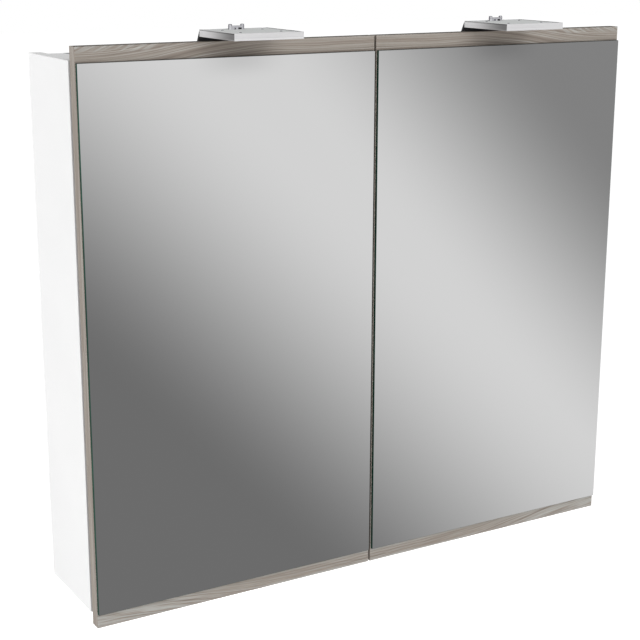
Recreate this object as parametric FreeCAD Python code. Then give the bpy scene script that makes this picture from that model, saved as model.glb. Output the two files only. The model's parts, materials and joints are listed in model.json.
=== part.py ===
import FreeCAD
import Part
import os
from math import cos, radians, sqrt, tan
from FreeCAD import Vector

# Wall-hung cabinet with two mirror doors and two lamps over them, in millimetres.
# The wall is the plane y = 0 and the doors face -Y. The origin lies midway between
# the two hanger eyes.

# Carcass boards
carcass_width = 800.0
carcass_height = 682.0
side_depth = 132.0
board = 16.0
eye_drop = 50.0  # carcass top down to the hanger eyes
rear_recess = 26.0  # wall to the rear edges of the top and bottom panels
edge_round = 0.5
back_thickness = 3.0
back_inset = 7.0  # rear edge of the panels to the back panel
groove_depth = 5.0
groove_gap = 0.15
face_web = 4.0  # wood left beyond a hole bored into a board's face
round_share = 0.45  # of a small piece's thickness, taken by its rounded edge
recess_reach = 0.6  # of a screw head's radius, taken by each arm of its cross recess
recess_width = 0.3  # of the same radius, taken by an arm's width
recess_sink = 0.6  # of the head's height, taken by the recess
tiny = 1e-6

# Dowels
dowel_radius = 4.0
dowel_in_end = 20.0
dowel_web = 6.0
dowel_margin = 24.0  # panel edge to the nearest dowel
bore_gap = 0.05  # round pieces in their bores

# Shelves
shelf_thickness = 5.0
shelf_end_gap = 2.0
shelf_front_gap = 4.0
shelf_back_gap = 1.0
shelf_levels = 2
pin_radius = 2.5
pin_reach = 9.0
pin_web = 2.0  # wood between two pins from opposite faces of the partition
pin_collar = 3.8
pin_collar_length = 1.2
pin_margin = 18.0  # shelf edge to its pins
shelf_step = 32.0  # between the holes that a shelf can be moved to
shelf_moves = (-1, 0, 1)

# Doors and mirrors
door_gap = 3.0
door_thickness = 16.0
between_doors = 2.8
door_side_inset = 1.0
door_top_overhang = 16.6  # door past the carcass, above
door_bottom_overhang = 14.6  # and below
door_round = 0.4
mirror_thickness = 4.0
mirror_strip = 18.6  # bare wood above and below the mirror
mirror_side_inset = 0.8  # from the outer end of the door
mirror_inner_inset = 1.4  # and from the inner end
mirror_corner = 0.8
mirror_arris = 0.2
bumper_radius = 4.0
bumper_gap = 0.3
bumper_margin = 20.0  # door's free edge to its bumpers

# Cup hinges
hinge_from_end = 100.0  # door end to hinge centre
cup_radius = 17.5
cup_wall = 1.0
cup_floor = 0.8
cup_web = 3.2  # wood left in front of the cup
cup_gap = 0.1
flange_thickness = 1.2
flange_lip = 0.7
flange_length = 62.0
flange_width = 22.0
flange_corner = 5.5
cup_screw_spacing = 48.0
cup_screw_offset = 6.0  # cup centre to its screws, towards the free edge
cup_screw_radius = 1.75
cup_screw_head = 3.4
cup_screw_rise = 1.4
corner_clearance = 0.5  # left of the door gap when the door's back corner swings past
pivot_to_cup = 13.2
knuckle_radius = 2.2
knuckle_gap = 0.4
hinge_pin_radius = 1.2
pin_press = 0.02
arm_width = 8.0
arm_thickness = 2.0
arm_bend = 1.5
arm_tail_width = 14.0
lug_thickness = 2.0
lug_gap = 0.3
lug_half = 2.5
plate_base = 2.0
plate_rail = 8.0
plate_rail_width = 12.0
plate_rail_length = 44.0
plate_wing_length = 46.0
plate_wing_width = 18.0
plate_corner = 4.5
plate_setback = 37.0  # carcass front edge to the plate's screw line
plate_screw_spacing = 32.0
plate_screw_radius = 2.0
plate_screw_head = 3.5
plate_screw_rise = 1.8
arm_screw_head = 3.6
arm_screw_rise = 1.8

# Wall hangers
hanger_width = 40.0
hanger_side_gap = 18.0  # side panel to hanger
hanger_flange = 20.0
hanger_thickness = 2.0
hanger_bend = 1.0
hanger_drop = 14.0  # carcass top to the top of the hanger's ledge
hanger_tail = 14.0  # eye centre to the hanger's lower end
eye_radius = 4.5
rebate_gap = 0.1
hanger_screw_radius = 1.75
hanger_screw_head = 3.5
hanger_screw_spacing = 20.0
hanger_screw_web = 2.0

# Lamp heads, brackets and cable clamps
lamp_offset = 192.0  # cabinet centre to lamp centre
lamp_width = 90.5
lamp_depth = 90.5
lamp_clearance = 5.2  # door top to lamp
lamp_rear_ahead = 2.0  # lamp rear ahead of the door's back face
lamp_wall = 2.0
lamp_ledge = 1.0
lamp_lip_width = 2.0
lamp_lip = 1.0
lamp_round = 0.5
lamp_fit = 0.25
diffuser_thickness = 1.5
led_air = 0.2
led_height = 0.7
led_size = 5.0
led_pitch = 18.0
led_rows = 3
led_board_thickness = 1.6
led_board_size = 62.0
top_plate_thickness = 0.8
top_plate_recess = 0.5
bracket_thickness = 2.0
bracket_bend = 1.0
bracket_side_inset = 0.25
bracket_stand_off = 4.0  # door back to the riser's middle, at door top height
bracket_slot_drop = 2.4
tongue_margin = 12.0
base_length = 58.0
base_screw_spacing = 30.0
base_screws = 3
base_screw_radius = 1.75
base_screw_head = 3.4
base_screw_rise = 1.6
head_screw_spacing_x = 53.0
head_screw_spacing_y = 46.0
head_screw_from_front = 21.0
head_screw_radius = 1.0
head_screw_head = 1.4
head_screw_rise = 0.7
screw_tip_gap = 0.2
clamp_length = 20.6
clamp_width = 5.0
clamp_height = 4.1
clamp_from_rear = 7.1
clamp_tunnel_width = 4.4
clamp_tunnel_height = 1.9
clamp_mid_foot = 3.2
clamp_blind_wall = 3.4  # behind the left tunnel, which holds no lead
clamp_screw_spacing = 16.0
clamp_screw_radius = 1.3
clamp_screw_head = 2.3
clamp_screw_rise = 1.9
bush_bore = 0.6
bush_gap = 0.1
bush_proud = 0.3

# Cable grommets
grommet_hole = 5.5
grommet_bore = 3.5
grommet_flange = 8.0
grommet_rise = 1.5
grommet_behind_base = 15.0
inlet_below_box = 24.0

# Driver box and its rocker switch
box_width = 110.0
box_depth = 56.0
box_height = 38.0
box_wall = 2.0
box_side_gap = 6.0  # partition to box
box_front_gap = 10.0  # carcass front edge to box
box_screw_radius = 2.0
box_screw_head = 3.6
box_screw_rise = 2.0
box_boss = 4.5
box_boss_margin = 12.0
vents = 6
vent_width = 2.0
vent_height = 20.0
vent_spacing = 7.0
vent_from_end = 16.0  # box end to the nearest vent
driver_length = 58.0
driver_width = 36.0
driver_thickness = 1.6
driver_post = 2.5
driver_post_height = 5.0
driver_post_inset = 4.0
coil_length = 20.0
coil_width = 18.0
coil_height = 15.0
coil_round = 1.0
capacitor_radius = 5.0
capacitor_height = 14.0
terminal_length = 8.0
terminal_width = 24.0
terminal_height = 10.0
component_margin = 5.0
switch_from_end = 20.0  # box end to switch centre
rocker_width = 10.4
rocker_radius = 9.2
rocker_gap = 0.3
rocker_dish = 10.0  # degrees that each half of the rocker slopes
rocker_depth = 2.8
rocker_back = 2.0
trunnion_radius = 1.2
trunnion_length = 1.4
trunnion_gap = 0.05
switch_wall = 1.8
switch_bezel = 1.6
switch_bezel_thickness = 1.2
switch_fit = 0.1
pivot_behind_bezel = 3.0
switch_back_gap = 2.4

# Places that follow from the sizes above
half_width = carcass_width / 2
inner_half = half_width - board
half_board = board / 2
top_z = eye_drop
bottom_z = top_z - carcass_height
ceiling_z = top_z - board
floor_z = bottom_z + board
front_y = -side_depth
panel_rear_y = -rear_recess
back_rear_y = panel_rear_y - back_inset
back_front_y = back_rear_y - back_thickness
pin_depth = (board - pin_web) / 2
dowel_in_face = board - dowel_web
door_outer_x = -(half_width - door_side_inset)
door_inner_x = -between_doors / 2
door_back_y = front_y - door_gap
door_front_y = door_back_y - door_thickness
mirror_front_y = door_front_y - mirror_thickness
door_top_z = top_z + door_top_overhang
door_bottom_z = bottom_z - door_bottom_overhang
hinge_heights = {"upper": door_top_z - hinge_from_end, "lower": door_bottom_z + hinge_from_end}
cup_depth = door_thickness - cup_web
pivot_depth = cup_depth - cup_floor - knuckle_gap - knuckle_radius
corner_swing = door_gap - corner_clearance
pivot_edge = sqrt(2 * pivot_depth * corner_swing + corner_swing**2)
pivot_x = door_outer_x + pivot_edge
pivot_y = door_back_y - pivot_depth
cup_x = pivot_x + pivot_to_cup
arm_x = -inner_half + plate_base + plate_rail + arm_thickness / 2
plate_y = front_y + plate_setback
arm_end_y = plate_y + plate_rail_length / 2
lamp_bottom_z = door_top_z + lamp_clearance
diffuser_z = lamp_bottom_z + lamp_lip
led_z = diffuser_z + diffuser_thickness + led_air
led_board_z = led_z + led_height
tongue_z = led_board_z + led_board_thickness
top_plate_z = tongue_z + bracket_thickness
top_plate_top_z = top_plate_z + top_plate_thickness
lamp_top_z = top_plate_top_z + top_plate_recess
lamp_rear_y = door_back_y - lamp_rear_ahead
lamp_front_y = lamp_rear_y - lamp_depth
lamp_middle_y = (lamp_rear_y + lamp_front_y) / 2
cavity_half_x = lamp_width / 2 - lamp_wall - lamp_ledge
base_z = top_z + bracket_thickness / 2
tongue_middle_z = tongue_z + bracket_thickness / 2
riser_y = door_back_y + bracket_stand_off
riser_slope = (riser_y - lamp_rear_y) / (tongue_middle_z - door_top_z)
base_front_y = riser_y + riser_slope * (door_top_z - base_z)
base_rear_y = base_front_y + base_length
base_screw_y = (base_front_y + base_rear_y) / 2
grommet_y = base_rear_y + grommet_behind_base
hanger_low_x = -inner_half + hanger_side_gap
hanger_middle_x = hanger_low_x + hanger_width / 2
hanger_screw_y = panel_rear_y - hanger_flange / 2
box_low_x = half_board + box_side_gap
box_front_y = front_y + box_front_gap
box_low_z = ceiling_z - box_height
box_middle_y = box_front_y + box_depth / 2
box_middle_z = ceiling_z - box_height / 2
switch_x = box_low_x + box_width - switch_from_end
rocker_half_z = rocker_radius + rocker_gap
rocker_half_x = rocker_width / 2 + rocker_gap
rocker_y = box_front_y - switch_bezel_thickness + pivot_behind_bezel
switch_half_x = rocker_half_x + switch_wall
switch_half_z = rocker_half_z + switch_wall
inlet_x = box_low_x + box_width / 2
inlet_z = box_low_z - inlet_below_box
x_axis = Vector(1, 0, 0)
y_axis = Vector(0, 1, 0)
z_axis = Vector(0, 0, 1)


def block(x, y, z):
    return Part.makeBox(x[1] - x[0], y[1] - y[0], z[1] - z[0], Vector(x[0], y[0], z[0]))


def rod(start, end, radius):
    along = end - start
    return Part.makeCylinder(radius, along.Length, start, along)


def around(middle, half):
    return (middle - half, middle + half)


def eased(shape, radius, along=None):
    # rounds every edge, or only those that run along one axis
    edges = shape.Edges
    if along is not None:
        edges = [edge for edge in edges if edge.tangentAt(edge.FirstParameter).cross(along).Length < tiny]
    return shape.makeFillet(radius, edges)


def mirrored(shape):
    return shape.mirror(Vector(0, 0, 0), x_axis)


def group(solids):
    return Part.makeCompound(solids)


def cross_recess(face, along, head, height):
    # two crossed slots in a screw's head, along being the way that the screw points
    reach = head * recess_reach
    half = head * recess_width / 2
    place = FreeCAD.Placement(face, FreeCAD.Rotation(z_axis, along))
    arms = []
    for half_x, half_y in ((reach, half), (half, reach)):
        arm = block(around(0, half_x), around(0, half_y), (0, height * recess_sink))
        arm.Placement = place
        arms.append(arm)
    return arms


def pan_screw(seat, along, radius, head, rise, length):
    shank = rod(seat, seat + along * length, radius)
    cap = rod(seat - along * rise, seat, head)
    crown = [edge for edge in cap.Edges if (edge.CenterOfMass - seat).dot(along) + rise < tiny]
    screw = shank.fuse(cap.makeFillet(rise * round_share, crown)).removeSplitter()
    return screw.cut(cross_recess(seat - along * rise, along, head, rise))


def flush_blank(seat, along, radius, head, length):
    # a countersunk screw's outside, or the hole for it
    shank = rod(seat, seat + along * length, radius)
    return shank.fuse(Part.makeCone(head, radius, head - radius, seat, along)).removeSplitter()


def unit(vector):
    return vector * (1 / vector.Length)


def left_of(vector):
    return Vector(-vector.y, vector.x, 0)


def offset_line(points, distance):
    # a line of points moved sideways to its left, with sharp corners
    runs = [left_of(unit(b - a)) for a, b in zip(points, points[1:])]
    befores = [runs[0]] + runs
    afters = runs + [runs[-1]]
    sides = [(a + b) * (1 / (1 + a.dot(b))) for a, b in zip(befores, afters)]
    return [point + side * distance for point, side in zip(points, sides)]


def rounded_edges(points, radii):
    edges = []
    start = points[0]
    for corner, after, radius in zip(points[1:], points[2:], radii):
        into = unit(corner - start)
        out = unit(after - corner)
        half_turn = into.getAngle(out) / 2
        first = corner - into * (radius * tan(half_turn))
        last = corner + out * (radius * tan(half_turn))
        middle = corner + unit(out - into) * (radius / cos(half_turn) - radius)
        edges.append(Part.LineSegment(start, first).toShape())
        edges.append(Part.Arc(first, middle, last).toShape())
        start = last
    edges.append(Part.LineSegment(start, points[-1]).toShape())
    return edges


def bent_strip(points, thickness, bend, span):
    # sheet metal bent along a line in the XY plane and as wide as its span in Z
    points = [Vector(a, b, 0) for a, b in points]
    runs = [b - a for a, b in zip(points, points[1:])]
    lefts = [left_of(a).dot(b) > 0 for a, b in zip(runs, runs[1:])]
    inner = [bend if left else bend + thickness for left in lefts]
    outer = [bend + thickness if left else bend for left in lefts]
    left_side = offset_line(points, thickness / 2)
    right_side = offset_line(points, -thickness / 2)
    edges = rounded_edges(left_side, inner) + rounded_edges(right_side, outer)
    edges.append(Part.LineSegment(left_side[0], right_side[0]).toShape())
    edges.append(Part.LineSegment(left_side[-1], right_side[-1]).toShape())
    outline = Part.Wire(Part.__sortEdges__(edges))
    strip = Part.Face(outline).extrude(z_axis * (span[1] - span[0]))
    strip.translate(z_axis * span[0])
    return strip


def sheet_across_x(points, thickness, bend, span):
    # the same, drawn in Y and Z and as wide as its span in X
    strip = bent_strip(points, thickness, bend, span)
    strip.rotate(Vector(0, 0, 0), Vector(1, 1, 1), 120)
    return strip


def shelf_bottoms():
    # shelves that divide the inside into equal compartments
    step = (ceiling_z - floor_z) / (shelf_levels + 1)
    return [floor_z + step * (i + 1) - shelf_thickness / 2 for i in range(shelf_levels)]


shelf_front_y = front_y + shelf_front_gap
shelf_rear_y = back_front_y - shelf_back_gap
pin_ys = (shelf_front_y + pin_margin, shelf_rear_y - pin_margin)
panel_dowel_ys = (front_y + dowel_margin, panel_rear_y - dowel_margin)
partition_dowel_ys = (front_y + dowel_margin, back_front_y - dowel_margin)


def side_dowels(gap):
    # left ends of the top and bottom panels
    rods = []
    for z in (top_z - half_board, bottom_z + half_board):
        for y in panel_dowel_ys:
            start = Vector(-inner_half - dowel_in_face - gap, y, z)
            end = Vector(-inner_half + dowel_in_end + gap, y, z)
            rods.append(rod(start, end, dowel_radius + gap))
    return rods


def partition_dowels(gap):
    rods = []
    for face_z, up in ((ceiling_z, 1), (floor_z, -1)):
        for y in partition_dowel_ys:
            start = Vector(0, y, face_z - up * (dowel_in_end + gap))
            end = Vector(0, y, face_z + up * (dowel_in_face + gap))
            rods.append(rod(start, end, dowel_radius + gap))
    return rods


def shelf_pins(face_x, out, gap):
    # pins in one upright face, out being the way they reach
    rods = []
    for bottom in shelf_bottoms():
        for y in pin_ys:
            root = Vector(face_x - out * (pin_depth + gap), y, bottom - pin_radius)
            tip = Vector(face_x + out * pin_reach, y, bottom - pin_radius)
            rods.append(rod(root, tip, pin_radius + gap))
    return rods


def pin_holes(face_x, out):
    # each pin's own hole and the empty ones above and below it
    rods = shelf_pins(face_x, out, bore_gap)
    return [hole.translated(z_axis * (move * shelf_step)) for hole in rods for move in shelf_moves]


def collared(pins, face_x, out):
    collars = []
    for pin in pins:
        seat = Vector(face_x, pin.CenterOfMass.y, pin.CenterOfMass.z)
        collars.append(rod(seat, seat + x_axis * out * pin_collar_length, pin_collar))
    return [pin.fuse(collar).removeSplitter() for pin, collar in zip(pins, collars)]


def back_panel_blank(gap):
    reach = groove_depth - gap
    x = around(0, inner_half + reach)
    y = (back_front_y, back_rear_y)
    return block(x, y, (floor_z - reach, ceiling_z + reach))


def back_groove():
    x = around(0, inner_half + groove_depth)
    y = (back_front_y - groove_gap, back_rear_y + groove_gap)
    return block(x, y, (floor_z - groove_depth, ceiling_z + groove_depth))


def plate_screws(z, grow):
    # the two screws of one hinge plate, in the left side panel
    seat_x = -inner_half + plate_base
    length = plate_base + board - face_web + grow
    found = []
    for up in (-1, 1):
        seat = Vector(seat_x, plate_y, z + up * plate_screw_spacing / 2)
        found.append((seat, x_axis * -1, length))
    return found


def side_panel():
    panel = eased(block((-half_width, -inner_half), (front_y, 0), (bottom_z, top_z)), edge_round)
    cuts = side_dowels(bore_gap) + pin_holes(-inner_half, 1) + [back_groove()]
    for z in hinge_heights.values():
        for seat, along, length in plate_screws(z, bore_gap):
            cuts.append(rod(seat, seat + along * length, plate_screw_radius + bore_gap))
    return panel.cut(cuts)


def hanger_rebate():
    x = around(hanger_middle_x, hanger_width / 2 + rebate_gap)
    y = (panel_rear_y - hanger_flange - rebate_gap, panel_rear_y)
    return block(x, y, (top_z - hanger_thickness, top_z))


def hanger_screw_length():
    return board - groove_depth - hanger_screw_web


def hanger_screw_seats():
    spread = around(hanger_middle_x, hanger_screw_spacing / 2)
    return [Vector(x, hanger_screw_y, top_z) for x in spread]


def hanger_screw_blanks(gap):
    sizes = (hanger_screw_radius + gap, hanger_screw_head + gap, hanger_screw_length() + gap)
    return [flush_blank(seat, z_axis * -1, *sizes) for seat in hanger_screw_seats()]


def hanger_screws():
    height = hanger_screw_head - hanger_screw_radius
    recesses = [arm for seat in hanger_screw_seats()
                for arm in cross_recess(seat, z_axis * -1, hanger_screw_head, height)]
    return [blank.cut(recesses) for blank in hanger_screw_blanks(0)]


def wall_hanger():
    half = hanger_thickness / 2
    rear_y = panel_rear_y + hanger_bend + half
    ledge_z = top_z - hanger_drop - half
    path = [(panel_rear_y - hanger_flange, top_z - half), (rear_y, top_z - half), (rear_y, ledge_z)]
    path += [(-half, ledge_z), (-half, -hanger_tail)]
    span = around(hanger_middle_x, hanger_width / 2)
    hanger = sheet_across_x(path, hanger_thickness, hanger_bend, span)
    eye_rear = Vector(hanger_middle_x, 0, 0)
    eye = rod(eye_rear - y_axis * hanger_thickness, eye_rear, eye_radius)
    return hanger.cut([eye] + hanger_screw_blanks(bore_gap))


def base_screw_seats(lamp_x):
    middle = (base_screws - 1) / 2
    places = [lamp_x + (i - middle) * base_screw_spacing for i in range(base_screws)]
    return [Vector(x, base_screw_y, top_z + bracket_thickness) for x in places]


def base_screw_length():
    return bracket_thickness + board - face_web


def base_screw_holes(lamp_x):
    length = base_screw_length() + bore_gap
    radius = base_screw_radius + bore_gap
    return [rod(seat, seat - z_axis * length, radius) for seat in base_screw_seats(lamp_x)]


def box_screw_seats():
    ends = (box_low_x + box_boss_margin, box_low_x + box_width - box_boss_margin)
    rear_y = box_front_y + box_depth - box_boss_margin
    return [Vector(x, rear_y, box_low_z) for x in ends]


def box_screw_length():
    return box_height + board - face_web


def box_screw_holes():
    length = box_screw_length() + bore_gap
    radius = box_screw_radius + bore_gap
    return [rod(seat, seat + z_axis * length, radius) for seat in box_screw_seats()]


def flat_panel(low_z):
    blank = block((-inner_half, inner_half), (front_y, panel_rear_y), (low_z, low_z + board))
    ends = side_dowels(bore_gap)
    ends += [mirrored(end) for end in ends]
    return eased(blank, edge_round, x_axis).cut(ends + partition_dowels(bore_gap) + [back_groove()])


def top_panel():
    panel = flat_panel(ceiling_z)
    cuts = [hanger_rebate()] + hanger_screw_blanks(bore_gap)
    cuts += [mirrored(cut) for cut in cuts]
    cuts += box_screw_holes()
    for lamp_x in (-lamp_offset, lamp_offset):
        cuts += base_screw_holes(lamp_x)
        top = Vector(lamp_x, grommet_y, top_z)
        cuts.append(rod(top - z_axis * board, top, grommet_hole))
    return panel.cut(cuts)


def partition():
    blank = block((-half_board, half_board), (front_y, back_front_y), (floor_z, ceiling_z))
    pins = pin_holes(half_board, 1) + pin_holes(-half_board, -1)
    return eased(blank, edge_round, z_axis).cut(partition_dowels(bore_gap) + pins)


def back_panel():
    rear = Vector(inlet_x, back_rear_y, inlet_z)
    return back_panel_blank(groove_gap).cut(rod(rear - y_axis * back_thickness, rear, grommet_hole))


def grommet(face, out, thickness):
    # a rubber ring in a through hole, its flange on the face
    flange = rod(face, face + out * grommet_rise, grommet_flange)
    sleeve = rod(face - out * thickness, face, grommet_hole - bore_gap)
    bore = rod(face - out * thickness, face + out * grommet_rise, grommet_bore)
    ring = eased(flange, grommet_rise * round_share).fuse(sleeve).cut(bore)
    return ring.removeSplitter()


def cable_grommets():
    tops = [Vector(x, grommet_y, top_z) for x in (-lamp_offset, lamp_offset)]
    rings = [grommet(top, z_axis, board) for top in tops]
    rings.append(grommet(Vector(inlet_x, back_rear_y, inlet_z), y_axis, back_thickness))
    return group(rings)


def left_shelf(bottom):
    x = (-inner_half + shelf_end_gap, -half_board - shelf_end_gap)
    return eased(block(x, (shelf_front_y, shelf_rear_y), (bottom, bottom + shelf_thickness)), edge_round)


def all_shelf_pins():
    outer = collared(shelf_pins(-inner_half, 1, 0), -inner_half, 1)
    inner = collared(shelf_pins(-half_board, -1, 0), -half_board, -1)
    left = outer + inner
    return group(left + [mirrored(pin) for pin in left])


def hinge_cup_place(z, depth):
    return Vector(cup_x, door_back_y - depth, z)


def cup_screw_seats(z):
    x = cup_x + cup_screw_offset
    return [Vector(x, door_back_y + flange_thickness, z + up * cup_screw_spacing / 2) for up in (-1, 1)]


def cup_screw_length():
    return flange_thickness + door_thickness - face_web


def cup_screw_holes(z):
    length = cup_screw_length() + bore_gap
    return [rod(seat, seat - y_axis * length, cup_screw_radius + bore_gap) for seat in cup_screw_seats(z)]


def hinge_cup(z):
    mouth = hinge_cup_place(z, -flange_thickness)
    outer = rod(hinge_cup_place(z, 0), hinge_cup_place(z, cup_depth), cup_radius)
    inner = rod(mouth, hinge_cup_place(z, cup_depth - cup_floor), cup_radius - cup_wall)
    disc = rod(hinge_cup_place(z, 0), mouth, cup_radius + flange_lip)
    wing_x = around(cup_x + cup_screw_offset, flange_width / 2)
    wing = block(wing_x, (door_back_y, door_back_y + flange_thickness), around(z, flange_length / 2))
    wing = eased(wing, flange_corner, y_axis)
    cup = outer.fuse([disc, wing]).cut([inner] + cup_screw_holes(z))
    lug_middle = arm_width / 2 + lug_gap + lug_thickness / 2
    floor_y = door_back_y - cup_depth + cup_floor / 2
    for up in (-1, 1):
        lug_z = around(z + up * lug_middle, lug_thickness / 2)
        lug = block((cup_x - cup_radius, pivot_x + lug_half), (floor_y, pivot_y + lug_half), lug_z)
        cup = cup.fuse(lug.common(outer))
    bore = hinge_pin_radius + pin_press
    return cup.removeSplitter().cut(hinge_pin(z, bore))


def hinge_pin(z, radius):
    half = arm_width / 2 + lug_gap + lug_thickness
    return rod(Vector(pivot_x, pivot_y, z - half), Vector(pivot_x, pivot_y, z + half), radius)


def arm_screw_seat(z):
    return Vector(arm_x + arm_thickness / 2, plate_y, z)


def hinge_arm(z):
    leg_y = pivot_y - knuckle_radius + arm_thickness / 2
    path = [(pivot_x, leg_y), (arm_x, leg_y), (arm_x, arm_end_y)]
    arm = bent_strip(path, arm_thickness, arm_bend, around(z, arm_width / 2))
    tail_x = around(arm_x, arm_thickness / 2)
    tail_y = (front_y, arm_end_y)
    tail = eased(block(tail_x, tail_y, around(z, arm_tail_width / 2)), arm_thickness, x_axis)
    low = Vector(pivot_x, pivot_y, z - arm_width / 2)
    knuckle = rod(low, low + z_axis * arm_width, knuckle_radius)
    arm = arm.fuse([tail, knuckle]).removeSplitter()
    seat = arm_screw_seat(z)
    screw = rod(seat, seat - x_axis * arm_thickness, plate_screw_radius + bore_gap)
    return arm.cut([hinge_pin(z, hinge_pin_radius + bore_gap), screw])


def hinge_plate(z):
    base_x = (-inner_half, -inner_half + plate_base)
    wings = block(base_x, around(plate_y, plate_wing_width / 2), around(z, plate_wing_length / 2))
    wings = eased(wings, plate_corner, x_axis)
    rail_x = (-inner_half, -inner_half + plate_base + plate_rail)
    rail = block(rail_x, around(plate_y, plate_rail_length / 2), around(z, plate_rail_width / 2))
    cuts = [rod(seat, seat + along * length, plate_screw_radius + bore_gap)
            for seat, along, length in plate_screws(z, 0)]
    seat = arm_screw_seat(z)
    cuts.append(rod(seat, seat - x_axis * (arm_thickness + plate_rail), plate_screw_radius + bore_gap))
    return wings.fuse(rail).removeSplitter().cut(cuts)


def hinge_plate_screws(z):
    sizes = (plate_screw_radius, plate_screw_head, plate_screw_rise)
    return [pan_screw(seat, along, *sizes, length) for seat, along, length in plate_screws(z, 0)]


def hinge_arm_screw(z):
    length = arm_thickness + plate_rail - bore_gap
    return pan_screw(arm_screw_seat(z), x_axis * -1, plate_screw_radius, arm_screw_head, arm_screw_rise, length)


def hinge_cup_screws(z):
    sizes = (cup_screw_radius, cup_screw_head, cup_screw_rise, cup_screw_length())
    return [pan_screw(seat, y_axis * -1, *sizes) for seat in cup_screw_seats(z)]


def door():
    blank = block((door_outer_x, door_inner_x), (door_front_y, door_back_y), (door_bottom_z, door_top_z))
    cuts = []
    for z in hinge_heights.values():
        seat = hinge_cup_place(z, 0)
        cuts.append(rod(seat, seat - y_axis * (cup_depth + cup_gap), cup_radius + cup_gap))
        cuts += cup_screw_holes(z)
    return eased(blank, door_round).cut(cuts)


def mirror_plate():
    x = (door_outer_x + mirror_side_inset, door_inner_x - mirror_inner_inset)
    z = (door_bottom_z + mirror_strip, door_top_z - mirror_strip)
    glass = eased(block(x, (mirror_front_y, door_front_y), z), mirror_corner, y_axis)
    rim = [edge for edge in glass.Edges if abs(edge.CenterOfMass.y - mirror_front_y) < tiny]
    return glass.makeChamfer(mirror_arris, rim)


def door_bumpers():
    x = door_inner_x - bumper_margin
    height = door_gap - bumper_gap
    bumpers = []
    for z in (top_z - half_board, bottom_z + half_board):
        seat = Vector(x, door_back_y, z)
        dot = rod(seat, seat + y_axis * height, bumper_radius)
        crown = [edge for edge in dot.Edges if abs(edge.CenterOfMass.y - seat.y - height) < tiny]
        bumpers.append(dot.makeFillet(height / 2, crown))
    return group(bumpers)


def lamp_ring(half_x, margin, low_z, high_z):
    # the space inside the lamp head, left between walls of one thickness
    y = (lamp_front_y + margin, lamp_rear_y - margin)
    return block(around(0, half_x), y, (low_z, high_z))


def lamp_frame():
    half_x = lamp_width / 2
    blank = eased(lamp_ring(half_x, 0, lamp_bottom_z, lamp_top_z), lamp_round, z_axis)
    ledge = lamp_wall + lamp_ledge
    lip = ledge + lamp_lip_width
    cuts = [lamp_ring(half_x - lip, lip, lamp_bottom_z, lamp_top_z)]
    cuts.append(lamp_ring(half_x - ledge, ledge, diffuser_z, lamp_top_z))
    cuts.append(lamp_ring(half_x - lamp_wall, lamp_wall, top_plate_z, lamp_top_z))
    slot_y = (lamp_rear_y - ledge, lamp_rear_y)
    cuts.append(block(around(0, cavity_half_x), slot_y, (tongue_z - bracket_slot_drop, top_plate_z)))
    return blank.cut(cuts)


def head_screw_seats():
    ys = [lamp_front_y + head_screw_from_front + i * head_screw_spacing_y for i in (0, 1)]
    return [Vector(side * head_screw_spacing_x / 2, y, top_plate_top_z) for side in (-1, 1) for y in ys]


def head_screw_length():
    return top_plate_thickness + bracket_thickness - screw_tip_gap


def head_screw_holes():
    length = head_screw_length() + bore_gap
    radius = head_screw_radius + bore_gap
    return [rod(seat, seat - z_axis * length, radius) for seat in head_screw_seats()]


def head_screws():
    sizes = (head_screw_radius, head_screw_head, head_screw_rise, head_screw_length())
    return [pan_screw(seat, z_axis * -1, *sizes) for seat in head_screw_seats()]


def clamp_screw_seats():
    y = lamp_rear_y - clamp_from_rear
    z = top_plate_top_z + clamp_height
    return [Vector(side * clamp_screw_spacing / 2, y, z) for side in (-1, 1)]


def clamp_screw_length():
    return clamp_height + top_plate_thickness + bracket_thickness - screw_tip_gap


def clamp_screw_holes():
    length = clamp_screw_length() + bore_gap
    radius = clamp_screw_radius + bore_gap
    return [rod(seat, seat - z_axis * length, radius) for seat in clamp_screw_seats()]


def clamp_screws():
    sizes = (clamp_screw_radius, clamp_screw_head, clamp_screw_rise, clamp_screw_length())
    return [pan_screw(seat, z_axis * -1, *sizes) for seat in clamp_screw_seats()]


def clamp_tunnel(gap, proud):
    # the right-hand tunnel under the clamp, or what fits in it with a gap
    low_x = clamp_mid_foot / 2
    x = (low_x + gap, low_x + clamp_tunnel_width - gap)
    y = around(lamp_rear_y - clamp_from_rear, clamp_width / 2 + proud)
    return block(x, y, (top_plate_top_z, top_plate_top_z + clamp_tunnel_height - gap))


def cable_clamp():
    y = around(lamp_rear_y - clamp_from_rear, clamp_width / 2)
    z = (top_plate_top_z, top_plate_top_z + clamp_height)
    saddle = eased(block(around(0, clamp_length / 2), y, z), clamp_width * round_share, z_axis)
    tunnel = clamp_tunnel(0, 0)
    blind = mirrored(tunnel).translated(y_axis * -clamp_blind_wall)
    return saddle.cut([tunnel, blind] + clamp_screw_holes())


def clamp_bush():
    bush = clamp_tunnel(bush_gap, bush_proud)
    middle = bush.CenterOfMass
    return bush.cut(rod(middle - y_axis * clamp_width, middle + y_axis * clamp_width, bush_bore))


def lamp_top_plate():
    plate = lamp_ring(lamp_width / 2 - lamp_wall - lamp_fit, lamp_wall + lamp_fit, top_plate_z, top_plate_top_z)
    return plate.cut(head_screw_holes() + clamp_screw_holes())


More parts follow.
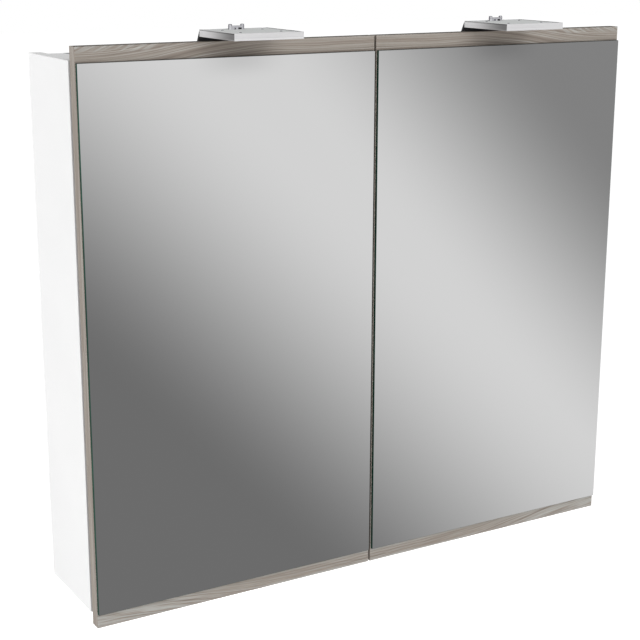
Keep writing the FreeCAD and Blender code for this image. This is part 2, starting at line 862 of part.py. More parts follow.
def lamp_bracket():
    tongue_y = lamp_front_y + lamp_wall + lamp_ledge + tongue_margin
    path = [(tongue_y, tongue_middle_z), (lamp_rear_y, tongue_middle_z)]
    path += [(base_front_y, base_z), (base_rear_y, base_z)]
    tongue = sheet_across_x(path, bracket_thickness, bracket_bend, around(0, cavity_half_x - lamp_fit))
    wide_half = lamp_width / 2 - bracket_side_inset
    riser = sheet_across_x(path, bracket_thickness, bracket_bend, around(0, wide_half))
    ahead = block(around(0, lamp_width), (lamp_front_y, lamp_rear_y + lamp_fit), (top_z, lamp_top_z))
    sheet = tongue.fuse(riser.cut(ahead)).removeSplitter()
    holes = head_screw_holes() + clamp_screw_holes() + base_screw_holes(0)
    return sheet.cut(holes)


def led_board():
    half = led_board_size / 2
    low_y = lamp_middle_y - half
    plate = block(around(0, half), (low_y, low_y + led_board_size), (led_board_z, tongue_z))
    middle = (led_rows - 1) / 2
    chips = []
    for i in range(led_rows):
        for j in range(led_rows):
            x = around((i - middle) * led_pitch, led_size / 2)
            y = around(lamp_middle_y + (j - middle) * led_pitch, led_size / 2)
            chips.append(block(x, y, (led_z, led_board_z)))
    return group([plate] + chips)


def diffuser():
    margin = lamp_wall + lamp_ledge + lamp_fit
    return lamp_ring(cavity_half_x - lamp_fit, margin, diffuser_z, diffuser_z + diffuser_thickness)


def base_screws_of_lamp():
    sizes = (base_screw_radius, base_screw_head, base_screw_rise, base_screw_length())
    return [pan_screw(seat, z_axis * -1, *sizes) for seat in base_screw_seats(0)]


def driver_place():
    low_x = box_low_x + box_boss_margin + box_boss
    low_y = box_middle_y - driver_width / 2
    z = box_low_z + box_wall + driver_post_height
    return low_x, low_y, z


def box_vents():
    wall_y = (box_front_y, box_front_y + box_wall)
    height = around(box_middle_z, vent_height / 2)
    middles = [box_low_x + vent_from_end + i * vent_spacing for i in range(vents)]
    slots = [block(around(x, vent_width / 2), wall_y, height) for x in middles]
    return [eased(slot, vent_width * round_share, y_axis) for slot in slots]


def driver_box():
    x = (box_low_x, box_low_x + box_width)
    y = (box_front_y, box_front_y + box_depth)
    shell = eased(block(x, y, (box_low_z, ceiling_z)), box_wall / 2, z_axis)
    hollow_x = (x[0] + box_wall, x[1] - box_wall)
    hollow_y = (y[0] + box_wall, y[1] - box_wall)
    shell = shell.cut(block(hollow_x, hollow_y, (box_low_z + box_wall, ceiling_z)))
    pillars = [rod(seat, seat + z_axis * box_height, box_boss) for seat in box_screw_seats()]
    low_x, low_y, post_z = driver_place()
    for px in (low_x + driver_post_inset, low_x + driver_length - driver_post_inset):
        for py in (low_y + driver_post_inset, low_y + driver_width - driver_post_inset):
            pillars.append(rod(Vector(px, py, box_low_z), Vector(px, py, post_z), driver_post))
    window_x = around(switch_x, switch_half_x + switch_fit)
    window_z = around(box_middle_z, switch_half_z + switch_fit)
    window = block(window_x, (y[0], y[0] + box_wall), window_z)
    return shell.fuse(pillars).removeSplitter().cut([window] + box_vents() + box_screw_holes())


def driver_board():
    low_x, low_y, z = driver_place()
    top = z + driver_thickness
    middle_y = low_y + driver_width / 2
    plate = block((low_x, low_x + driver_length), (low_y, low_y + driver_width), (z, top))
    coil_x = (low_x + component_margin, low_x + component_margin + coil_length)
    coil = block(coil_x, around(middle_y, coil_width / 2), (top, top + coil_height))
    can_foot = Vector(coil_x[1] + component_margin + capacitor_radius, middle_y, top)
    can = rod(can_foot, can_foot + z_axis * capacitor_height, capacitor_radius)
    end_x = low_x + driver_length - component_margin
    block_y = around(middle_y, terminal_width / 2)
    terminals = block((end_x - terminal_length, end_x), block_y, (top, top + terminal_height))
    return group([plate, eased(coil, coil_round), can, terminals])


def box_screws():
    sizes = (box_screw_radius, box_screw_head, box_screw_rise, box_screw_length())
    return [pan_screw(seat, z_axis, *sizes) for seat in box_screw_seats()]


def switch_frame():
    front_face = box_front_y - switch_bezel_thickness
    back = rocker_y + rocker_back + switch_back_gap
    x = around(switch_x, switch_half_x)
    z = around(box_middle_z, switch_half_z)
    body = block(x, (box_front_y, back + switch_wall), z)
    bezel_x = around(switch_x, switch_half_x + switch_bezel)
    bezel_z = around(box_middle_z, switch_half_z + switch_bezel)
    bezel = eased(block(bezel_x, (front_face, box_front_y), bezel_z), switch_bezel / 2, y_axis)
    well_x = around(switch_x, rocker_half_x)
    well = block(well_x, (front_face, back), around(box_middle_z, rocker_half_z))
    return bezel.fuse(body).removeSplitter().cut([well, rocker_axle(trunnion_gap)])


def rocker_axle(gap):
    half = rocker_width / 2 + trunnion_length + gap
    middle = Vector(switch_x, rocker_y, box_middle_z)
    return rod(middle - x_axis * half, middle + x_axis * half, trunnion_radius + gap)


def switch_rocker():
    # two sloping halves over a round body, resting with its lower half pressed in
    middle = Vector(switch_x, rocker_y, box_middle_z)
    low = middle - x_axis * (rocker_width / 2)
    drum = rod(low, low + x_axis * rocker_width, rocker_radius)
    slope = rocker_radius * tan(radians(rocker_dish))
    end_y = -rocker_depth - slope
    sides = [(end_y, -rocker_radius), (-rocker_depth, 0), (end_y, rocker_radius)]
    sides += [(rocker_back, rocker_radius), (rocker_back, -rocker_radius)]
    corners = [low + Vector(0, y, z) for y, z in sides]
    wedge = Part.Face(Part.makePolygon(corners + corners[:1])).extrude(x_axis * rocker_width)
    rocker = drum.common(wedge).fuse(rocker_axle(0)).removeSplitter()
    rocker.rotate(middle, x_axis, rocker_dish)
    return rocker


def lamp_parts():
    return {
        "lamp_frame": lamp_frame(),
        "lamp_top_plate": lamp_top_plate(),
        "lamp_bracket": lamp_bracket(),
        "lamp_led_board": led_board(),
        "lamp_diffuser": diffuser(),
        "lamp_clamp": cable_clamp(),
    }


def at_both_lamps(solids):
    placed = []
    for x in (-lamp_offset, lamp_offset):
        placed += [solid.translated(x_axis * x) for solid in solids]
    return group(placed)


def both_sides(solids):
    return group(solids + [mirrored(solid) for solid in solids])


def all_parts():
    parts = {
        "top_panel": top_panel(),
        "bottom_panel": flat_panel(bottom_z),
        "centre_partition": partition(),
        "back_panel": back_panel(),
        "carcass_dowels": group(both_sides(side_dowels(0)).Solids + partition_dowels(0)),
        "shelf_pins": all_shelf_pins(),
        "cable_grommets": cable_grommets(),
        "hanger_screws": both_sides(hanger_screws()),
        "lamp_head_screws": at_both_lamps(head_screws()),
        "lamp_clamp_screws": at_both_lamps(clamp_screws()),
        "lamp_clamp_bushes": at_both_lamps([clamp_bush()]),
        "lamp_base_screws": at_both_lamps(base_screws_of_lamp()),
        "driver_box": driver_box(),
        "driver_board": driver_board(),
        "driver_box_screws": group(box_screws()),
        "switch_frame": switch_frame(),
        "switch_rocker": switch_rocker(),
    }
    pairs = {"side_panel": side_panel(), "wall_hanger": wall_hanger(), "door": door()}
    pairs.update({"mirror": mirror_plate(), "door_bumpers": door_bumpers()})
    for level, bottom in zip(("lower", "upper"), shelf_bottoms()):
        pairs[f"{level}_shelf"] = left_shelf(bottom)
    heights = hinge_heights.values()
    for level, z in hinge_heights.items():
        pairs[f"{level}_hinge_cup"] = hinge_cup(z)
        pairs[f"{level}_hinge_arm"] = hinge_arm(z)
    pairs["hinge_pins"] = group([hinge_pin(z, hinge_pin_radius) for z in heights])
    pairs["hinge_cup_screws"] = group([screw for z in heights for screw in hinge_cup_screws(z)])
    pairs["hinge_plates"] = group([hinge_plate(z) for z in heights])
    for name, shape in pairs.items():
        parts[f"left_{name}"] = shape
        parts[f"right_{name}"] = mirrored(shape)
    parts["hinge_plate_screws"] = both_sides([screw for z in heights for screw in hinge_plate_screws(z)])
    parts["hinge_arm_screws"] = both_sides([hinge_arm_screw(z) for z in heights])
    for name, shape in lamp_parts().items():
        parts[f"left_{name}"] = shape.translated(x_axis * -lamp_offset)
        parts[f"right_{name}"] = shape.translated(x_axis * lamp_offset)
    return parts


os.makedirs("parts", exist_ok=True)
finished = all_parts()
for name, shape in finished.items():
    shape.exportStep(f"parts/{name}.step")
print(f"{len(finished)} nodes; door pivot x {pivot_x:.3f} y {pivot_y:.3f}; hinges {hinge_heights}")
print(f"lamp top z {lamp_top_z:.2f}, riser foot y {base_front_y:.2f}; rocker pivot y {rocker_y:.2f} "
      f"z {box_middle_z:.2f}")
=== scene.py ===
import bmesh
import bpy
import json
import math
from mathutils import Matrix, Quaternion, Vector


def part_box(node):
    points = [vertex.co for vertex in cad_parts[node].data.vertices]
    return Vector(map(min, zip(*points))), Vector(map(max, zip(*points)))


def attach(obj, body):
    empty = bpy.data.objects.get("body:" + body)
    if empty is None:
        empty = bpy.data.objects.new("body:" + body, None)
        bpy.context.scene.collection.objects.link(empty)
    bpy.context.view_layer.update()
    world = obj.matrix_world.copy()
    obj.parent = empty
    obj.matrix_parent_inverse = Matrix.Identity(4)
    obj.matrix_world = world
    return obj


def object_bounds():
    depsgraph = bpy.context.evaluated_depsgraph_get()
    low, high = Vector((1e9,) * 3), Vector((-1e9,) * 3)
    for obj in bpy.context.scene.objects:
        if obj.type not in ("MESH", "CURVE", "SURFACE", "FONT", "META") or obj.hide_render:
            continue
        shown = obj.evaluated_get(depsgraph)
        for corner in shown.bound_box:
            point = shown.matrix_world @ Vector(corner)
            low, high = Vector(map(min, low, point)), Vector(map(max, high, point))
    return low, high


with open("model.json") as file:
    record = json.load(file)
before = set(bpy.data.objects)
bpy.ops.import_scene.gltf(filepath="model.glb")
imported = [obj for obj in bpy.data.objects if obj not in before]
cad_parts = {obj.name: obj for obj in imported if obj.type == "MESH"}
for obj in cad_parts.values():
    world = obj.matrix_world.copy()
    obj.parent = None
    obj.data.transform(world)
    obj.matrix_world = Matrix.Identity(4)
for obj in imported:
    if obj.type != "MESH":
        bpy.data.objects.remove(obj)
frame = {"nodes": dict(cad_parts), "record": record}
nodes = frame["nodes"]
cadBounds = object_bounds()


def linear(hexColour):
    channels = [int(hexColour[i:i + 2], 16) / 255 for i in (1, 3, 5)]
    return [c / 12.92 if c <= 0.04045 else ((c + 0.055) / 1.055) ** 2.4 for c in channels] + [1.0]


def grey(level):
    return [level, level, level, 1.0]


def toneStops(positions, tones):
    return [(position, linear(tone)) for position, tone in zip(positions, tones)]


# the finishes give their sizes in millimetres
def metres(millimetres):
    return millimetres / 1000


def patternScale(millimetres):
    return 1000 / millimetres  # pattern repeats per metre


# two sockets of a Map Range node that are set together
inRange = ("From Min", "From Max")
outRange = ("To Min", "To Max")


def addNode(tree, kind, settings=None, links=None):
    # a Mix node's sockets go by number: 0 is the share, 2 and 3 are plain numbers, 6 and 7 are colours
    node = tree.nodes.new(kind)
    for name, value in (settings or {}).items():
        if isinstance(name, tuple):
            for socket, level in zip(name, value):
                node.inputs[socket].default_value = level
        elif name == "stops":
            ramp = node.color_ramp.elements
            while len(ramp) < len(value):
                ramp.new(1.0)
            for element, (position, colour) in zip(ramp, value):
                element.position = position
                element.color = colour
        elif name == "interpolation":
            node.color_ramp.interpolation = value
        elif isinstance(name, int) or name in node.inputs:
            node.inputs[name].default_value = value
        else:
            setattr(node, name, value)
    for name, source in (links or {}).items():
        if isinstance(source, bpy.types.Node):  # a node stands for its first output in use
            source = next(output for output in source.outputs if output.enabled)
        tree.links.new(source, node.inputs[name])
    return node


def emptyMaterial(name):
    material = bpy.data.materials.new(name)
    material.use_nodes = True
    material.node_tree.nodes.clear()
    return material, material.node_tree


def startMaterial(name):
    material, tree = emptyMaterial(name)
    place = addNode(tree, "ShaderNodeTexCoord")
    return material, tree, place.outputs["Object"], place.outputs["Normal"]


def finishMaterial(tree, settings, links):
    shader = addNode(tree, "ShaderNodeBsdfPrincipled", settings, links)
    addNode(tree, "ShaderNodeOutputMaterial", links={"Surface": shader})


directions = {"side": (1, 0, 0), "front": (0, -1, 0), "rear": (0, 1, 0), "up": (0, 0, 1)}


def faceMask(tree, facing, direction, least, bothWays=False):
    # 1 on the faces that look in a direction, 0 on the others
    share = addNode(tree, "ShaderNodeVectorMath", {"operation": "DOT_PRODUCT", 1: directions[direction]},
                    {0: facing})
    if bothWays:
        share = addNode(tree, "ShaderNodeMath", {"operation": "ABSOLUTE"}, {0: share})
    return addNode(tree, "ShaderNodeMath", {"operation": "GREATER_THAN", 1: least}, {0: share})


def stretchedNoise(tree, where, scale, settings):
    stretch = addNode(tree, "ShaderNodeMapping", {"Scale": scale}, {"Vector": where})
    return addNode(tree, "ShaderNodeTexNoise", {"Scale": 1.0, **settings}, {"Vector": stretch})


# painted soft shade that each lamp would leave along the top edge of its mirror: its reach in millimetres,
# and its depth
lampShade = {"aside": 75, "above": 24, "below": 30, "onWood": 0.46, "onGlass": 0.17}


def shadeUnderLamps(tree, axes, reach, depth):
    lampLow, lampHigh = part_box("right_lamp_frame")
    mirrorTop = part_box("right_mirror")[1].z
    fromMiddle = addNode(tree, "ShaderNodeMath", {"operation": "ABSOLUTE"}, {0: axes.outputs["X"]})
    nearness = []
    for source, middle, fades in ((fromMiddle, (lampLow.x + lampHigh.x) / 2, lampShade["aside"]),
                                  (axes.outputs["Z"], mirrorTop, reach)):
        offset = addNode(tree, "ShaderNodeMath", {"operation": "SUBTRACT", 1: middle}, {0: source})
        away = addNode(tree, "ShaderNodeMath", {"operation": "ABSOLUTE"}, {0: offset})
        nearness.append(addNode(tree, "ShaderNodeMapRange",
                                {"interpolation_type": "SMOOTHSTEP", "From Max": metres(fades),
                                 outRange: (1.0, 0.0)}, {"Value": away}))
    # painted shade: darkest under each lamp at the top edge of the mirror
    both = addNode(tree, "ShaderNodeMath", {"operation": "MULTIPLY"}, {0: nearness[0], 1: nearness[1]})
    return addNode(tree, "ShaderNodeMath", {"operation": "MULTIPLY_ADD", 1: -depth, 2: 1.0}, {0: both})


# melamine-faced chipboard: white satin film with a fine pebble, grey edging behind the doors that is partly
# its own grey and partly painted shade of the gap, raw chips on the sawn rear edges
melamineLook = {"film": ("#F3F3F3", "#F6F6F6"), "filmSpread": (0.3, 0.7), "drift": 140, "edgingAndShade": "#E5E5E5",
                "raw": ("#97805F", "#B59E78", "#C6B28D", "#D8C9A9"), "rawSpread": (0.0, 0.4, 0.75, 1.0),
                "chip": 3.2, "edgeFrom": 0.9, "pebble": 1.6, "pebbleDepth": 0.3, "pebbleStrength": 0.06,
                "roughness": (0.42, 0.85), "ior": 1.5, "specular": 0.15}


def melamineBoard():
    look = melamineLook
    material, tree, here, facing = startMaterial("melamineFacedChipboard")
    drift = addNode(tree, "ShaderNodeTexNoise", {"Scale": patternScale(look["drift"]), "Detail": 2.0},
                    {"Vector": here})
    film = addNode(tree, "ShaderNodeValToRGB", {"stops": toneStops(look["filmSpread"], look["film"])},
                   {"Fac": drift})
    chips = addNode(tree, "ShaderNodeTexVoronoi", {"Scale": patternScale(look["chip"])}, {"Vector": here})
    chipTone = addNode(tree, "ShaderNodeSeparateColor", links={"Color": chips.outputs["Color"]})
    raw = addNode(tree, "ShaderNodeValToRGB", {"stops": toneStops(look["rawSpread"], look["raw"])},
                  {"Fac": chipTone.outputs["Red"]})
    rear = faceMask(tree, facing, "rear", look["edgeFrom"])
    fore = faceMask(tree, facing, "front", look["edgeFrom"])
    # the front edges take the grey edging, partly painted shade of the narrow gap behind the doors
    edged = addNode(tree, "ShaderNodeMix", {"data_type": "RGBA", 7: linear(look["edgingAndShade"])},
                    {0: fore, 6: film})
    colour = addNode(tree, "ShaderNodeMix", {"data_type": "RGBA"}, {0: rear, 6: edged, 7: raw})
    rough = addNode(tree, "ShaderNodeMapRange", {outRange: look["roughness"]}, {"Value": rear})
    pebble = addNode(tree, "ShaderNodeTexNoise", {"Scale": patternScale(look["pebble"]), "Detail": 1.0},
                     {"Vector": here})
    bump = addNode(tree, "ShaderNodeBump",
                   {"Strength": look["pebbleStrength"], "Distance": metres(look["pebbleDepth"])},
                   {"Height": pebble})
    finishMaterial(tree, {"IOR": look["ior"], "Specular IOR Level": look["specular"]},
                   {"Base Color": colour, "Roughness": rough, "Normal": bump})
    return material


# lacquered hardboard: white on the inside, bare brown fibre on the edges and on the side towards the wall
hardboardLook = {"lacquer": ("#F0F0EE", "#F3F3F1"), "lacquerSpread": (0.35, 0.65),
                 "fibre": ("#77593E", "#8B6A49", "#9C7B56"), "fibreSpread": (0.36, 0.5, 0.64),
                 "strand": 2.5, "strandDepth": 0.3, "strandStrength": 0.05, "clump": 26, "clumpShare": 0.15,
                 "bareFrom": -0.5, "roughness": (0.4, 0.75), "ior": 1.5}


def lacqueredHardboard():
    look = hardboardLook
    material, tree, here, facing = startMaterial("lacqueredHardboard")
    strand = addNode(tree, "ShaderNodeTexNoise",
                     {"Scale": patternScale(look["strand"]), "Detail": 6.0, "Roughness": 0.7},
                     {"Vector": here})
    clump = addNode(tree, "ShaderNodeTexNoise", {"Scale": patternScale(look["clump"]), "Detail": 3.0},
                    {"Vector": here})
    both = addNode(tree, "ShaderNodeMix", {0: look["clumpShare"]}, {2: strand, 3: clump})
    brown = addNode(tree, "ShaderNodeValToRGB", {"stops": toneStops(look["fibreSpread"], look["fibre"])},
                    {"Fac": both})
    white = addNode(tree, "ShaderNodeValToRGB",
                    {"stops": toneStops(look["lacquerSpread"], look["lacquer"])}, {"Fac": clump})
    bare = faceMask(tree, facing, "rear", look["bareFrom"])
    colour = addNode(tree, "ShaderNodeMix", {"data_type": "RGBA"}, {0: bare, 6: white, 7: brown})
    rough = addNode(tree, "ShaderNodeMapRange", {outRange: look["roughness"]}, {"Value": bare})
    bump = addNode(tree, "ShaderNodeBump",
                   {"Strength": look["strandStrength"], "Distance": metres(look["strandDepth"])},
                   {"Height": strand})
    finishMaterial(tree, {"IOR": look["ior"]}, {"Base Color": colour, "Roughness": rough, "Normal": bump})
    return material


# printed wood decor under melamine: fine grey-brown lines that fan out from the outer end of each door,
# slanting flames in the top outer corner, paler slanting stripes along the bottom, upright grain on the side
# edging, darker edging along the top and bottom that is partly its own tone and partly painted shade, a thin
# painted shadow line where the mirror's top meets the board, and painted shade under each lamp
decorLook = {
    "tones": ("#837970", "#92887F", "#A0988F", "#ADA8A2", "#B5B4AF"),
    "toneSpread": (0.36, 0.46, 0.55, 0.64, 0.76),
    "line": (220, 1.4), "shade": (300, 4.5), "shadeShare": 0.3,  # millimetres along and across the board
    "fibre": (30, 0.6), "fibreShare": 0.15, "fibreDepth": 0.2, "fibreStrength": 0.1,
    "thread": (160, 1.1), "threadSpread": (0.3, 0.7), "threadDepth": 0.11,
    "halvesApart": 3.0,  # makes the grain differ above and below the middle
    "wander": (90, 25), "wanderApart": 1.0, "wanderReach": 4, "fan": (10, 250), "fanClimb": 26,
    "doorsApart": 4.0,  # makes the stripes of the two doors differ
    "stripe": (50, 1.5), "stripeSpread": (0.35, 0.65), "stripeLean": 0.1, "stripeDepth": 0.13,
    "footFrom": (170, 30), "footLift": 0.15,
    "footShares": ((0.2, 1.0), (0.45, 0.28), (0.7, 0.25), (1.0, 0.5)),  # along the door, from the outer end
    "flame": (7, 26), "flameSpread": (0.4, 0.62), "flameLean": 2.2, "flameBend": 0.7, "flameStrength": 0.8,
    "flameDrop": (9, 4), "flameLength": (135, 80),
    # the edging tone is partly the band's own and partly painted shade; the shadow line is a painted shadow
    "edgingAndShade": 0.36, "edgingMatt": 0.4, "edgeFrom": 0.7, "shadowLine": (0.3, 1.6), "shadow": 0.5,
    "roughness": (0.42, 0.58), "ior": 1.5, "specular": 0.3}


def placesOnDoor(tree, here, facing):
    # distances from the outer end, and up or down from the middle of the door, and which face a point is on
    low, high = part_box("left_door")
    least = decorLook["edgeFrom"]
    axes = addNode(tree, "ShaderNodeSeparateXYZ", links={"Vector": here})
    fromMiddle = addNode(tree, "ShaderNodeMath", {"operation": "ABSOLUTE"}, {0: axes.outputs["X"]})
    fromEnd = addNode(tree, "ShaderNodeMath", {"operation": "SUBTRACT", 0: -low.x}, {1: fromMiddle})
    level = addNode(tree, "ShaderNodeMath", {"operation": "SUBTRACT", 1: (low.z + high.z) / 2},
                    {0: axes.outputs["Z"]})
    outward = addNode(tree, "ShaderNodeMath", {"operation": "ABSOLUTE"}, {0: level})
    half = addNode(tree, "ShaderNodeMath", {"operation": "SIGN"}, {0: level})
    sideEdge = faceMask(tree, facing, "side", least, bothWays=True)
    levelEdge = faceMask(tree, facing, "up", least, bothWays=True)
    anyEdge = addNode(tree, "ShaderNodeMath", {"operation": "MAXIMUM"}, {0: sideEdge, 1: levelEdge})
    return {"axes": axes, "fromEnd": fromEnd, "level": level, "outward": outward, "half": half,
            "sideEdge": sideEdge, "levelEdge": levelEdge, "anyEdge": anyEdge,
            "inner": faceMask(tree, facing, "rear", least), "front": faceMask(tree, facing, "front", least)}


def doorGrain(tree, at):
    # the lines fan out on the front, and run straight on the inner face and along the edging
    look = decorLook
    fan = addNode(tree, "ShaderNodeMapRange",
                  {"interpolation_type": "SMOOTHSTEP", inRange: map(metres, look["fan"]),
                   "To Max": metres(look["fanClimb"])}, {"Value": at["fromEnd"]})
    fanned = addNode(tree, "ShaderNodeMath", {"operation": "SUBTRACT"}, {0: at["outward"], 1: fan})
    height = addNode(tree, "ShaderNodeMix", links={0: at["inner"], 2: fanned, 3: at["level"]})
    sheet = addNode(tree, "ShaderNodeMix", {3: 0.0}, {0: at["inner"], 2: at["half"]})
    face = addNode(tree, "ShaderNodeCombineXYZ", links={"X": at["fromEnd"], "Y": height, "Z": sheet})
    scale = (*map(patternScale, look["wander"]), look["wanderApart"])
    wander = stretchedNoise(tree, face, scale, {"Detail": 1.0})
    bent = addNode(tree, "ShaderNodeMath", {"operation": "MULTIPLY_ADD", 1: metres(look["wanderReach"])},
                   {0: wander, 2: height})
    along = addNode(tree, "ShaderNodeMix",
                    links={0: at["sideEdge"], 2: at["fromEnd"], 3: at["axes"].outputs["Z"]})
    across = addNode(tree, "ShaderNodeMix", links={0: at["anyEdge"], 2: bent, 3: at["axes"].outputs["Y"]})
    grain = addNode(tree, "ShaderNodeCombineXYZ", links={"X": along, "Y": across, "Z": sheet})
    layers = {}
    for layer in ("line", "shade", "fibre", "thread"):
        scale = (*map(patternScale, look[layer]), look["halvesApart"])
        layers[layer] = stretchedNoise(tree, grain, scale, {"Detail": 1.0})
    lines = addNode(tree, "ShaderNodeMix", {0: look["shadeShare"]}, {2: layers["line"], 3: layers["shade"]})
    figure = addNode(tree, "ShaderNodeMix", {0: look["fibreShare"]}, {2: lines, 3: layers["fibre"]})
    return figure, layers["fibre"], layers["thread"]


def liftAlongBottom(tree, at, figure):
    # towards both ends the foot of the board is paler, in slanting stripes
    look = decorLook
    low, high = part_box("left_door")
    below = addNode(tree, "ShaderNodeMapRange",
                    {"interpolation_type": "SMOOTHSTEP",
                     inRange: [low.z + metres(rise) for rise in look["footFrom"]]},
                    {"Value": at["axes"].outputs["Z"]})
    lengthShare = addNode(tree, "ShaderNodeMath", {"operation": "DIVIDE", 1: high.x - low.x},
                          {0: at["fromEnd"]})
    paleRamp = addNode(tree, "ShaderNodeValToRGB",
                       {"stops": [(share, grey(level)) for share, level in look["footShares"]]},
                       {"Fac": lengthShare})
    lift = addNode(tree, "ShaderNodeMath", {"operation": "MULTIPLY"}, {0: paleRamp, 1: below})
    plain = addNode(tree, "ShaderNodeMath", {"operation": "MAXIMUM"}, {0: at["inner"], 1: at["sideEdge"]})
    outerLift = addNode(tree, "ShaderNodeMix", {3: 0.0}, {0: plain, 2: lift})
    drop = addNode(tree, "ShaderNodeMath", {"operation": "MULTIPLY_ADD", 1: -look["stripeLean"]},
                   {0: at["fromEnd"], 2: at["outward"]})
    dropped = addNode(tree, "ShaderNodeCombineXYZ",
                      links={"X": at["fromEnd"], "Y": drop, "Z": at["axes"].outputs["X"]})
    scale = (*map(patternScale, look["stripe"]), look["doorsApart"])
    stripe = stretchedNoise(tree, dropped, scale, {"Detail": 1.0})
    stripeLift = addNode(tree, "ShaderNodeMapRange",
                         {inRange: look["stripeSpread"],
                          outRange: (look["footLift"] - look["stripeDepth"],
                                     look["footLift"] + look["stripeDepth"])}, {"Value": stripe})
    return addNode(tree, "ShaderNodeMath", {"operation": "MULTIPLY_ADD"},
                   {0: outerLift, 1: stripeLift, 2: figure})


def flamesAtTop(tree, at):
    # the share of the palest tone in the top outer corner of the front
    look = decorLook
    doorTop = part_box("left_door")[1].z
    paleEnd = addNode(tree, "ShaderNodeMapRange",
                      {"interpolation_type": "SMOOTHSTEP", inRange: map(metres, look["flameLength"])},
                      {"Value": at["fromEnd"]})
    nearEnd = addNode(tree, "ShaderNodeMath", {"operation": "SUBTRACT", "use_clamp": True},
                      {0: paleEnd, 1: at["inner"]})
    nearTop = addNode(tree, "ShaderNodeMapRange",
                      {"interpolation_type": "SMOOTHSTEP",
                       inRange: [doorTop - metres(drop) for drop in look["flameDrop"]]},
                      {"Value": at["axes"].outputs["Z"]})
    lean = addNode(tree, "ShaderNodeMath", {"operation": "MULTIPLY_ADD", 1: -look["flameLean"]},
                   {0: at["outward"], 2: at["fromEnd"]})
    slanted = addNode(tree, "ShaderNodeCombineXYZ", links={"X": lean, "Y": at["outward"], "Z": at["half"]})
    scale = (*map(patternScale, look["flame"]), look["halvesApart"])
    flame = stretchedNoise(tree, slanted, scale, {"Detail": 2.0, "Distortion": look["flameBend"]})
    flicker = addNode(tree, "ShaderNodeMapRange",
                      {"interpolation_type": "SMOOTHSTEP", inRange: look["flameSpread"],
                       "To Max": look["flameStrength"]}, {"Value": flame})
    corner = addNode(tree, "ShaderNodeMath", {"operation": "MULTIPLY"}, {0: nearTop, 1: nearEnd})
    paleness = addNode(tree, "ShaderNodeMath", {"operation": "MULTIPLY"}, {0: corner, 1: flicker})
    return addNode(tree, "ShaderNodeMath", {"operation": "SUBTRACT", "use_clamp": True},
                   {0: paleness, 1: at["anyEdge"]})


def shadeOnDoor(tree, at):
    # painted shade under the lamp and a painted shadow line on the front, and the darker edging, which is
    # partly its own tone and partly painted shade
    look = decorLook
    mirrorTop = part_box("left_mirror")[1].z
    fromPane = addNode(tree, "ShaderNodeMath", {"operation": "SUBTRACT", 1: mirrorTop},
                       {0: at["axes"].outputs["Z"]})
    nearPane = addNode(tree, "ShaderNodeMath", {"operation": "ABSOLUTE"}, {0: fromPane})
    shadow = addNode(tree, "ShaderNodeMapRange",
                     {"interpolation_type": "SMOOTHSTEP", inRange: map(metres, look["shadowLine"]),
                      outRange: (look["shadow"], 1.0)}, {"Value": nearPane})
    paintedLampShade = shadeUnderLamps(tree, at["axes"], lampShade["above"], lampShade["onWood"])
    paintedShade = addNode(tree, "ShaderNodeMath", {"operation": "MULTIPLY"}, {0: shadow, 1: paintedLampShade})
    shaded = addNode(tree, "ShaderNodeMix", {2: 1.0}, {0: at["front"], 3: paintedShade})
    return addNode(tree, "ShaderNodeMix", {3: look["edgingAndShade"]}, {0: at["levelEdge"], 2: shaded})


def printedWoodDecor():
    look = decorLook
    material, tree, here, facing = startMaterial("printedWoodDecor")
    at = placesOnDoor(tree, here, facing)
    figure, fibre, thread = doorGrain(tree, at)
    lifted = liftAlongBottom(tree, at, figure)
    wood = addNode(tree, "ShaderNodeValToRGB", {"stops": toneStops(look["toneSpread"], look["tones"])},
                   {"Fac": lifted})
    flamed = addNode(tree, "ShaderNodeMix", {"data_type": "RGBA", 7: linear(look["tones"][-1])},
                     {0: flamesAtTop(tree, at), 6: wood})
    threadTone = addNode(tree, "ShaderNodeMapRange",
                         {inRange: look["threadSpread"],
                          outRange: (1 - look["threadDepth"], 1 + look["threadDepth"])}, {"Value": thread})
    strength = addNode(tree, "ShaderNodeMath", {"operation": "MULTIPLY"},
                       {0: shadeOnDoor(tree, at), 1: threadTone})
    colour = addNode(tree, "ShaderNodeVectorMath", {"operation": "SCALE"}, {0: flamed, "Scale": strength})
    rough = addNode(tree, "ShaderNodeMapRange", {outRange: look["roughness"]}, {"Value": figure})
    matt = addNode(tree, "ShaderNodeMath", {"operation": "MULTIPLY_ADD", 1: look["edgingMatt"]},
                   {0: at["levelEdge"], 2: rough})
    bump = addNode(tree, "ShaderNodeBump",
                   {"Strength": look["fibreStrength"], "Distance": metres(look["fibreDepth"])},
                   {"Height": fibre})
    finishMaterial(tree, {"IOR": look["ior"], "Specular IOR Level": look["specular"]},
                   {"Base Color": colour, "Roughness": matt, "Normal": bump})
    return material


# silvered float glass: the front mirrors cleanly, with painted shade under the lamps; the ground edge is deep
# bottle green, and its top face is darkened to nearly black as painted shade
mirrorLook = {"silver": "#F3F3F3", "frontFrom": 0.9, "edge": ("#143A2F", "#265041"),
              "edgeSpread": (0.35, 0.65), "wave": 60, "top": "#1E2825", "topFrom": 0.6,
              "roughness": (0.6, 0.008), "specular": 0.15}


